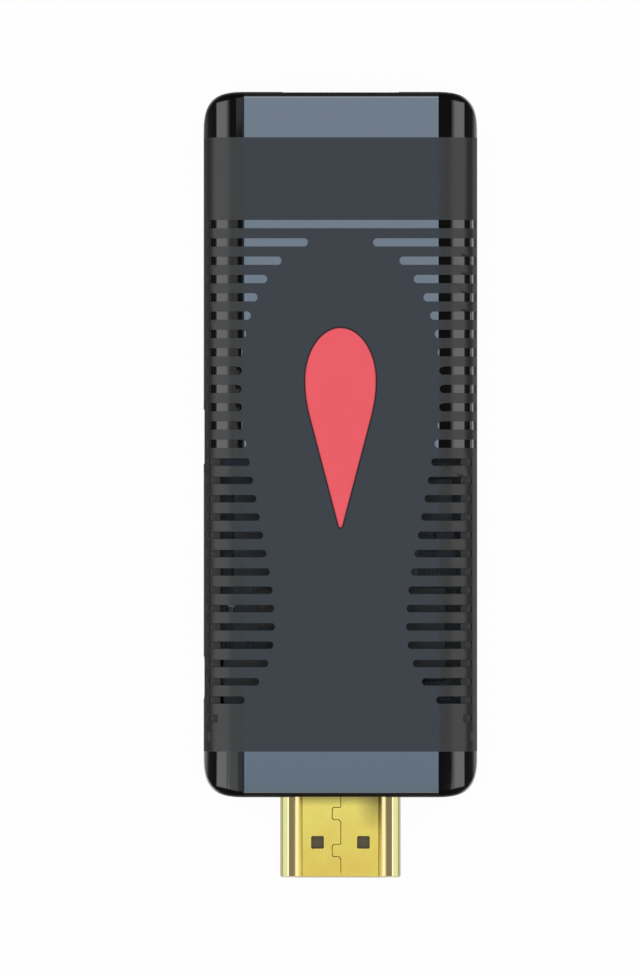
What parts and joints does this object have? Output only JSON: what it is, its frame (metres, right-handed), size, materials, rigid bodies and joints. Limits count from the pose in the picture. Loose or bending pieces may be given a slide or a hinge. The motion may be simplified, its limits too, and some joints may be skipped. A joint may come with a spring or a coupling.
{
  "type": "streaming stick",
  "caption": "Slim two-shell video dongle with a gold video plug, data socket, power port, jack, card slot, slotted air vents and a red teardrop inlay.",
  "frame": {"origin": "middle of the flat back face", "axes": "+Z out of the front face, +Y towards the data socket, -Y towards the video plug, +X to the card slot side"},
  "size_m": [0.0316, 0.0908, 0.013],
  "materials": {
    "cover_plastic": "fine matte texture with polished ends and stripes",
    "drop_plastic": "satin coral red moulding",
    "gold_plate": "bright gold plating on formed steel",
    "contact_gold": "selective gold plating",
    "connector_black": "moulded liquid crystal polymer",
    "socket_nickel": "nickel plated sheet",
    "sheet_steel": "tinned sheet",
    "screw_steel": "zinc plated",
    "board_laminate": "glass epoxy under solder mask",
    "chip_resin": "moulding compound",
    "ferrite": "pressed ferrite",
    "part_ceramic": "fired ceramic with tinned ends",
    "pad_silicone": "soft filled silicone",
    "sink_aluminium": "black anodised, extruded",
    "led_resin": "clear resin on a white base",
    "plunger_plastic": "moulded acetal"
  },
  "bodies": {
    "stick": {"front_cover": "cover_plastic", "back_cover": "cover_plastic", "drop_insert": "drop_plastic", "plug_shell": "gold_plate", "plug_contacts": "contact_gold", "usb_contacts": "contact_gold", "power_port_contacts": "contact_gold", "ir_jack_contacts": "contact_gold", "card_socket_contacts": "contact_gold", "plug_insulator": "connector_black", "usb_insulator": "connector_black", "power_port_insulator": "connector_black", "ir_jack_body": "connector_black", "card_socket_base": "connector_black", "reset_switch_base": "connector_black", "usb_shell": "socket_nickel", "power_port_shell": "socket_nickel", "card_socket_cover": "sheet_steel", "reset_switch_cover": "sheet_steel", "reset_dome": "sheet_steel", "wifi_shield": "sheet_steel", "clock_crystals": "sheet_steel", "board_screws": "screw_steel", "circuit_board": "board_laminate", "wifi_board": "board_laminate", "processor": "chip_resin", "memory_chips": "chip_resin", "flash_chip": "chip_resin", "power_manager": "chip_resin", "voltage_regulators": "chip_resin", "surge_arrays": "chip_resin", "power_inductors": "ferrite", "capacitors": "part_ceramic", "resistors": "part_ceramic", "chip_antenna": "part_ceramic", "thermal_pad": "pad_silicone", "heat_sink": "sink_aluminium", "status_led": "led_resin"},
    "reset_button": {"reset_plunger": "plunger_plastic"}
  },
  "joints": [
    {"name": "reset_press", "type": "slide", "parent": "stick", "child": "reset_button", "axis": [-1, 0, 0], "range_m": [0, 0.00025], "stiffness_N_per_m": 4000, "springref_m": -0.0002}
  ]
}
